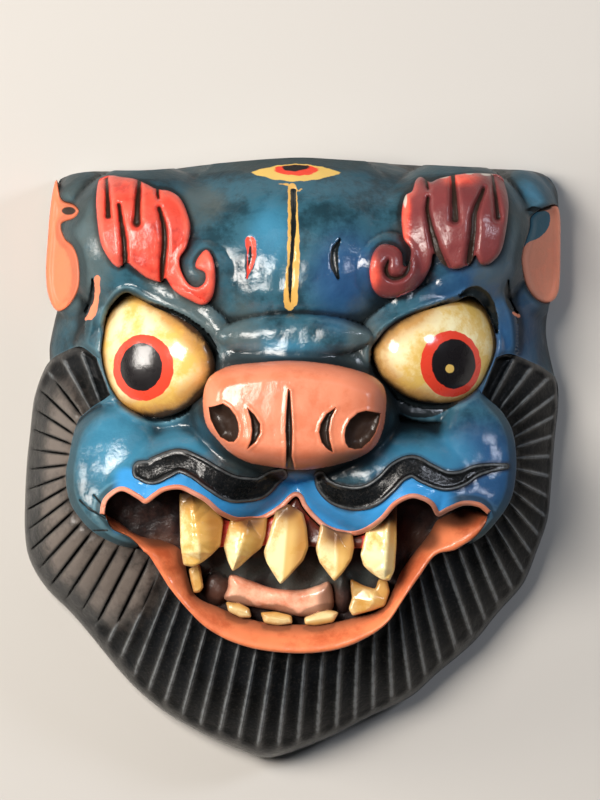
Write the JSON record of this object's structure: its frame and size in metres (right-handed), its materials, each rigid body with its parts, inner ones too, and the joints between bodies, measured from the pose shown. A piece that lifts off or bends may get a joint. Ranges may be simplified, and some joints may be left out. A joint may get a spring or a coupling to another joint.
{
  "type": "carved wooden dragon mask",
  "caption": "Carved and painted wooden dragon mask with bulging eyes, flame brows, snout, bared teeth and a ribbed beard, hollow behind to be worn over the face",
  "frame": {"origin": "middle of the bounding box in X and Y, at the flat back rim", "axes": "+X to the viewer's right across the face, +Y from the chin to the top of the head, +Z out of the face"},
  "size_m": [0.3022, 0.3378, 0.16],
  "materials": {
    "blue": "blue paint under gloss lacquer, worn to brown on the high spots",
    "black": "charcoal paint, half gloss, rubbed to brown-grey on the rib edges",
    "red": "red paint under gloss lacquer",
    "yellow": "pale yellow paint under gloss lacquer",
    "pink": "salmon paint under gloss lacquer",
    "orange": "orange paint under gloss lacquer, stained brown in the hollows",
    "dark": "near-black brown paint",
    "tooth": "cream and amber paint under gloss lacquer"
  },
  "bodies": {
    "root": {"face_shell": "blue", "beard_ruff": "black", "brow_left": "red", "brow_right": "red", "eye_left": "yellow", "eye_right": "yellow", "whisker_left": "black", "whisker_right": "black", "nose_pad": "pink", "ear_left": "pink", "ear_right": "pink", "mouth_lining": "dark", "upper_lip_edge": "pink", "lower_lip": "orange", "upper_gum": "red", "tongue": "orange", "tooth_upper_1": "tooth", "tooth_lower_1": "tooth", "tooth_upper_2": "tooth", "tooth_lower_2": "tooth", "tooth_upper_3": "tooth", "tooth_lower_3": "tooth", "tooth_upper_4": "tooth", "tooth_lower_4": "tooth", "tooth_upper_5": "tooth", "tooth_lower_5": "tooth"}
  },
  "joints": []
}
